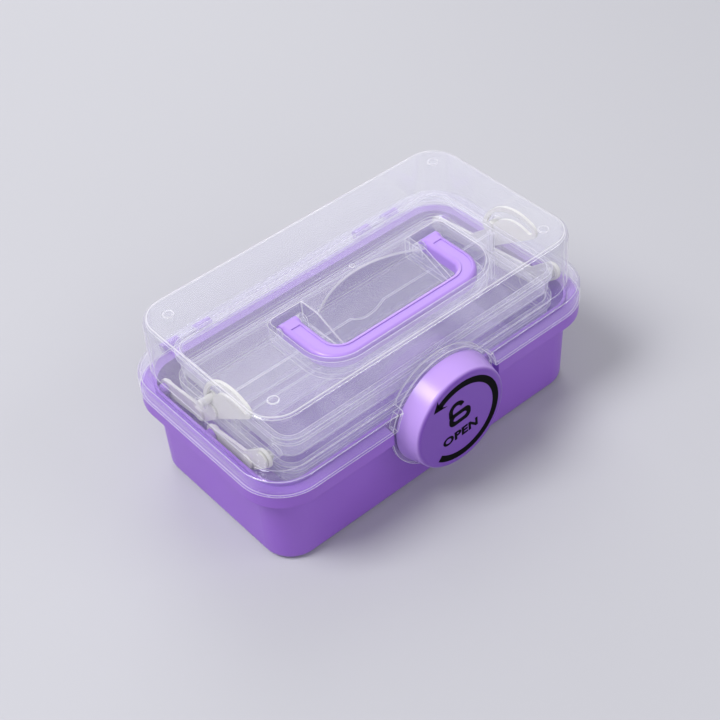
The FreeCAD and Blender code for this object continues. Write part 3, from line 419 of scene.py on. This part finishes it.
def pale_floor(colours):
    """Pale matt laminate table top: an even tone with only a trace of a blurred mirror image.

    Far from the box it passes into the backdrop's tone, so no horizon shows."""
    material, tree, output, place = new_material("Laminate pale matt")
    cloud = add_node(tree, "ShaderNodeTexNoise", {"Scale": per_metre(400)}, {"Vector": place})
    rough = add_node(tree, "ShaderNodeMapRange", {"To Min": 0.5, "To Max": 0.56},
                     {"Value": cloud.outputs["Fac"]})
    shader = add_node(tree, "ShaderNodeBsdfPrincipled",
                      {"Base Color": rgba(colours.floor), "IOR": 1.45, "Specular IOR Level": 0.2},
                      {"Roughness": rough.outputs["Result"]})
    away = add_node(tree, "ShaderNodeVectorMath", (), {0: place}, operation="LENGTH")
    fade = add_node(tree, "ShaderNodeMapRange",
                    {"From Min": FLOOR_FADE[0], "From Max": FLOOR_FADE[1]},
                    {"Value": away.outputs["Value"]}, interpolation_type="SMOOTHSTEP")
    share = add_node(tree, "ShaderNodeMath", (),
                     {0: fade.outputs["Result"], 1: backdrop_sight(tree)}, operation="MULTIPLY")
    tone = add_node(tree, "ShaderNodeEmission", {"Color": rgba(colours.backdrop), "Strength": 1.0})
    mixed = add_node(tree, "ShaderNodeMixShader", (), {"Fac": share.outputs["Value"]})
    tree.links.new(shader.outputs["BSDF"], mixed.inputs[1])
    tree.links.new(tone.outputs["Emission"], mixed.inputs[2])
    tree.links.new(mixed.outputs["Shader"], output.inputs["Surface"])
    return material


# Marking on the lock

def face_point(u, v, lift):
    """A point on the knob's front face: u to the right and v upwards from its centre."""
    low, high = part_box("lock_knob")
    return Vector((u, low.y - lift, (low.z + high.z) / 2 + v))


def print_shape(name, outlines, height, material):
    """Flat printed shapes on the knob's face, as thin solids; each outline is a list of (u, v)."""
    mesh = bpy.data.meshes.new(name)
    build = bmesh.new()
    for outline in outlines:
        corners = [build.verts.new(face_point(u, v, 0)) for u, v in outline]
        face = build.faces.new(corners)
        face.normal_update()
        lifted = bmesh.ops.extrude_face_region(build, geom=[face])["geom"]
        moved = [item for item in lifted if isinstance(item, bmesh.types.BMVert)]
        bmesh.ops.translate(build, vec=Vector((0, -height, 0)), verts=moved)
    bmesh.ops.recalc_face_normals(build, faces=build.faces)
    build.to_mesh(mesh)
    build.free()
    mesh.materials.append(material)
    piece = bpy.data.objects.new(name, mesh)
    bpy.context.scene.collection.objects.link(piece)
    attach(piece, LOCK)


def arc_points(radius, start, end, steps, centre=(0.0, 0.0)):
    """Points along an arc, both ends included."""
    spread = [start + (end - start) * i / steps for i in range(steps + 1)]
    return [(centre[0] + radius * math.cos(a), centre[1] + radius * math.sin(a)) for a in spread]


def turned(points, angle):
    """Points turned about the origin."""
    c, s = math.cos(angle), math.sin(angle)
    return [(c * u - s * v, s * u + c * v) for u, v in points]


def turning_arrow(marking):
    """Outlines of the ring that runs round the face, and of the barbed head at its end."""
    tip, middle = marking.arrow_tip, (marking.ring_inner + marking.ring_outer) / 2
    neck = tip - math.radians(9)
    ring = (arc_points(marking.ring_outer, marking.ring_start, neck, 72)
            + arc_points(marking.ring_inner, neck, marking.ring_start, 72))
    outer_barb = (marking.arrow_reach, tip - math.radians(14.5))
    point = (middle + 1.4 * MM, tip)
    inner_barb = (middle - 6.0 * MM, tip - math.radians(18))
    notch = (middle, neck - math.radians(1))
    head = [(radius * math.cos(angle), radius * math.sin(angle))
            for radius, angle in (outer_barb, point, inner_barb, notch)]
    return ring, head


def stroke(path, width):
    """Outline of a line of constant width along a list of (u, v) points."""
    left, right = [], []
    for index, (u, v) in enumerate(path):
        before, after = path[max(index - 1, 0)], path[min(index + 1, len(path) - 1)]
        along = Vector((after[0] - before[0], after[1] - before[1])).normalized() * width / 2
        left.append((u - along.y, v + along.x))
        right.append((u + along.y, v - along.x))
    return left + right[::-1]


def rounded_rectangle(width, height, radius):
    """Closed outline of a rectangle with round corners, about the origin."""
    corners = ((1, 1, 0), (-1, 1, 90), (-1, -1, 180), (1, -1, 270))
    points = []
    for side, level, first in corners:
        centre = (side * (width / 2 - radius), level * (height / 2 - radius))
        points += arc_points(radius, math.radians(first), math.radians(first + 90), 8, centre)
    return points + points[:1]


def open_padlock(marking):
    """Outlines of an open padlock: a wide rounded body and a shackle that is open on one side."""
    line = marking.lock_line
    width = marking.lock_width
    height = 0.58 * width
    corner = 0.24 * width
    body = rounded_rectangle(width, height, corner)
    room = rounded_rectangle(width - 2 * line, height - 2 * line, corner - line / 2)
    bow = 0.28 * width
    middle = (-0.12 * width, height / 2 + 0.12 * width)
    shackle = arc_points(bow, math.radians(18), math.radians(180), 24, middle)
    shackle.append((middle[0] - bow, height / 2 - line / 2))
    centre = marking.lock_place
    placed = []
    for outline in (body + room[::-1], stroke(shackle, line)):
        placed.append([(centre[0] + u, centre[1] + v) for u, v in turned(outline, marking.tilt)])
    return placed


def plain_word(marking, material):
    """The word below the padlock, in Blender's plain built-in letters made bolder."""
    curve = bpy.data.curves.new("lock_word", "FONT")
    curve.body = marking.word
    curve.size = 10 * MM  # Before the word is stretched to the marking's measures
    curve.offset = 0.5 * MM  # Makes the strokes bold
    curve.space_character = 1.1
    curve.extrude = marking.ink_height / 2
    curve.materials.append(material)
    piece = bpy.data.objects.new("lock_word", curve)
    bpy.context.scene.collection.objects.link(piece)
    bpy.context.view_layer.update()
    wide = marking.word_width / piece.dimensions.x
    tall = marking.word_height / piece.dimensions.y
    start = face_point(*marking.word_start, marking.ink_height / 2)
    upright = Matrix.Rotation(math.radians(90), 4, "X")
    lean = Matrix.Rotation(-marking.tilt, 4, "Y")
    scale = Matrix.Diagonal((wide, tall, 1, 1))
    piece.matrix_world = Matrix.Translation(start) @ lean @ upright @ scale
    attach(piece, LOCK)


# Operators

class CRAFTBOX_OT_violet_parts(bpy.types.Operator):
    """Give the tub, the turn lock and the handle their dyed, moulded plastic"""
    bl_idname = "craft_box.violet_parts"
    bl_label = "Violet Parts"

    def execute(self, context):
        colours = context.scene.craft_box_colours
        dress(TUB_NODES, moulded_colour(
            "Polypropylene moulded violet", colours.violet, smoothest=0.30, roughest=0.38))
        # The knob gets a paler rim as a painted sheen and a darker forward face as painted shade.
        dress(KNOB_NODES, moulded_colour(
            "Polypropylene moulded lilac with painted sheen and shade", colours.knob_rim_with_painted_sheen, smoothest=0.26, roughest=0.32,
            painted_shade_colour=colours.knob_face_with_painted_shade))
        dress(HANDLE_NODES, moulded_colour(
            "Polypropylene moulded lilac", colours.lilac, smoothest=0.26, roughest=0.34))
        return {"FINISHED"}


class CRAFTBOX_OT_clear_lid(bpy.types.Operator):
    """Give the lid and the handle's pins their clear, polished plastic"""
    bl_idname = "craft_box.clear_lid"
    bl_label = "Clear Lid"

    def execute(self, context):
        # The lid's clear plastic carries painted highlights along its edges and its roof line.
        dress(CLEAR_LID_NODES, clear_plastic(
            "Polypropylene clear polished with painted highlights", context.scene.craft_box_colours,
            haze=0.055, edge_haze=0.45, painted_edge_highlight=0.9, painted_roof_highlight=0.6, roughness=0.05))
        return {"FINISHED"}


class CRAFTBOX_OT_clear_trays(bpy.types.Operator):
    """Give the trays and their dividers clear plastic, milkier than the lid's"""
    bl_idname = "craft_box.clear_trays"
    bl_label = "Clear Trays"

    def execute(self, context):
        # The trays' clear plastic carries painted highlights along their edges.
        dress(TRAY_NODES, clear_plastic(
            "Polypropylene clear milky with painted highlights", context.scene.craft_box_colours,
            haze=0.18, edge_haze=0.55, painted_edge_highlight=0.9, painted_roof_highlight=0.0, roughness=0.10))
        return {"FINISHED"}


class CRAFTBOX_OT_white_linkage(bpy.types.Operator):
    """Give the crank arms and their pins white plastic"""
    bl_idname = "craft_box.white_linkage"
    bl_label = "White Linkage"

    def execute(self, context):
        dress(ARM_NODES + WHITE_PIN_NODES, moulded_white(context.scene.craft_box_colours))
        return {"FINISHED"}


class CRAFTBOX_OT_steel_parts(bpy.types.Operator):
    """Give the hinge pins and the lock's screw bright steel"""
    bl_idname = "craft_box.steel_parts"
    bl_label = "Steel Parts"

    def execute(self, context):
        dress(STEEL_NODES, bright_steel())
        return {"FINISHED"}


class CRAFTBOX_OT_lock_marking(bpy.types.Operator):
    """Print the turning arrow, the open padlock and the word on the knob's face"""
    bl_idname = "craft_box.lock_marking"
    bl_label = "Lock Marking"

    def execute(self, context):
        marking = context.scene.craft_box_marking
        ink = printed_ink(context.scene.craft_box_colours)
        print_shape("lock_arrow", turning_arrow(marking), marking.ink_height, ink)
        print_shape("lock_padlock", open_padlock(marking), marking.ink_height, ink)
        plain_word(marking, ink)
        return {"FINISHED"}


class CRAFTBOX_OT_stage(bpy.types.Operator):
    """Set the floor, the soft lights, the world and the camera at the photograph's angle"""
    bl_idname = "craft_box.stage"
    bl_label = "Stage"

    def execute(self, context):
        scene = context.scene
        scene.view_settings.view_transform = "Standard"
        set_depth(scene)
        set_floor(scene)
        set_lights(scene)
        set_world(scene)
        set_camera(scene)
        return {"FINISHED"}


# Stage

def set_floor(scene):
    """A round floor, wide enough to reach the backdrop on every side."""
    mesh = bpy.data.meshes.new("floor")
    rim = arc_points(FLOOR_RADIUS, 0.0, math.tau, 96)[:-1]
    mesh.from_pydata([(x, y, 0.0) for x, y in rim], [], [tuple(range(len(rim)))])
    mesh.materials.append(pale_floor(scene.craft_box_colours))
    floor = bpy.data.objects.new("floor", mesh)
    scene.collection.objects.link(floor)


def soft_box(scene, name, place, width, height, power):
    """An upright area lamp that points at the box."""
    lamp = bpy.data.lights.new(name, "AREA")
    lamp.shape = "RECTANGLE"
    lamp.size = width
    lamp.size_y = height
    lamp.energy = power
    holder = bpy.data.objects.new(name, lamp)
    holder.location = place
    towards = Vector(LAMPS_LOOK_AT) - Vector(place)
    holder.rotation_euler = towards.to_track_quat("-Z", "Y").to_euler()
    holder.visible_camera = False
    scene.collection.objects.link(holder)


def set_lights(scene):
    """A soft key from the left, a faint side light, fills, and strips that line the edges."""
    for lamp in LAMPS:
        soft_box(scene, *lamp)


def set_depth(scene):
    """Let light pass all the clear walls that lie behind each other."""
    scene.cycles.transparent_max_bounces = 32


def set_world(scene):
    """Soft light from all round; the eye, mirrors and clear walls see it as a pale backdrop."""
    world = bpy.data.worlds.new("studio")
    scene.world = world
    world.use_nodes = True
    tree = world.node_tree
    tree.nodes.clear()
    output = add_node(tree, "ShaderNodeOutputWorld")
    light = add_node(tree, "ShaderNodeBackground",
                     {"Color": rgba(linear(WORLD_LIGHT_COLOUR)), "Strength": 0.45})
    seen = add_node(tree, "ShaderNodeBackground",
                    {"Color": rgba(scene.craft_box_colours.backdrop), "Strength": 1.0})
    mix = add_node(tree, "ShaderNodeMixShader", (), {"Fac": backdrop_sight(tree)})
    tree.links.new(light.outputs["Background"], mix.inputs[1])
    tree.links.new(seen.outputs["Background"], mix.inputs[2])
    tree.links.new(mix.outputs["Shader"], output.inputs["Surface"])


def set_camera(scene):
    """The photograph's camera, placed by the view settings."""
    view = scene.craft_box_view
    data = bpy.data.cameras.new("camera")
    data.sensor_width = 36.0
    data.lens = view.focal_length
    data.clip_start = 0.01
    data.clip_end = 50.0
    camera = bpy.data.objects.new("camera", data)
    scene.collection.objects.link(camera)
    a, e, r = view.azimuth, view.elevation, view.roll
    back = Vector((math.sin(a) * math.cos(e), -math.cos(a) * math.cos(e), math.sin(e)))
    right = (-back).cross(Vector((0, 0, 1))).normalized()
    up = right.cross(-back)
    right_rolled = right * math.cos(r) + up * math.sin(r)
    up_rolled = up * math.cos(r) - right * math.sin(r)
    turn = Matrix((right_rolled, up_rolled, back)).transposed().to_4x4()
    camera.matrix_world = Matrix.Translation(Vector(view.target) + back * view.distance) @ turn
    scene.camera = camera


class CRAFTBOX_PT_finish(bpy.types.Panel):
    bl_label = "Craft Box"
    bl_idname = "CRAFTBOX_PT_finish"
    bl_space_type = "VIEW_3D"
    bl_region_type = "UI"
    bl_category = "Craft Box"

    def draw(self, context):
        layout = self.layout
        for group in ("craft_box_colours", "craft_box_marking", "craft_box_view"):
            settings = getattr(context.scene, group)
            for name in settings.__annotations__:
                layout.prop(settings, name)
        for operator in OPERATORS:
            layout.operator(operator.bl_idname)


SETTINGS = {
    "craft_box_colours": CraftBoxColours,
    "craft_box_marking": CraftBoxMarking,
    "craft_box_view": CraftBoxView,
}

OPERATORS = (
    CRAFTBOX_OT_violet_parts,
    CRAFTBOX_OT_clear_lid,
    CRAFTBOX_OT_clear_trays,
    CRAFTBOX_OT_white_linkage,
    CRAFTBOX_OT_steel_parts,
    CRAFTBOX_OT_lock_marking,
    CRAFTBOX_OT_stage,
)


def register():
    for name, group in SETTINGS.items():
        bpy.utils.register_class(group)
        setattr(bpy.types.Scene, name, PointerProperty(type=group))
    for item in (*OPERATORS, CRAFTBOX_PT_finish):
        bpy.utils.register_class(item)


def unregister():
    for item in (CRAFTBOX_PT_finish, *reversed(OPERATORS)):
        bpy.utils.unregister_class(item)
    for name, group in SETTINGS.items():
        delattr(bpy.types.Scene, name)
        bpy.utils.unregister_class(group)


def main():
    register()
    for operator in OPERATORS:
        group, call = operator.bl_idname.split(".")
        getattr(getattr(bpy.ops, group), call)()


if __name__ == "__main__":
    main()
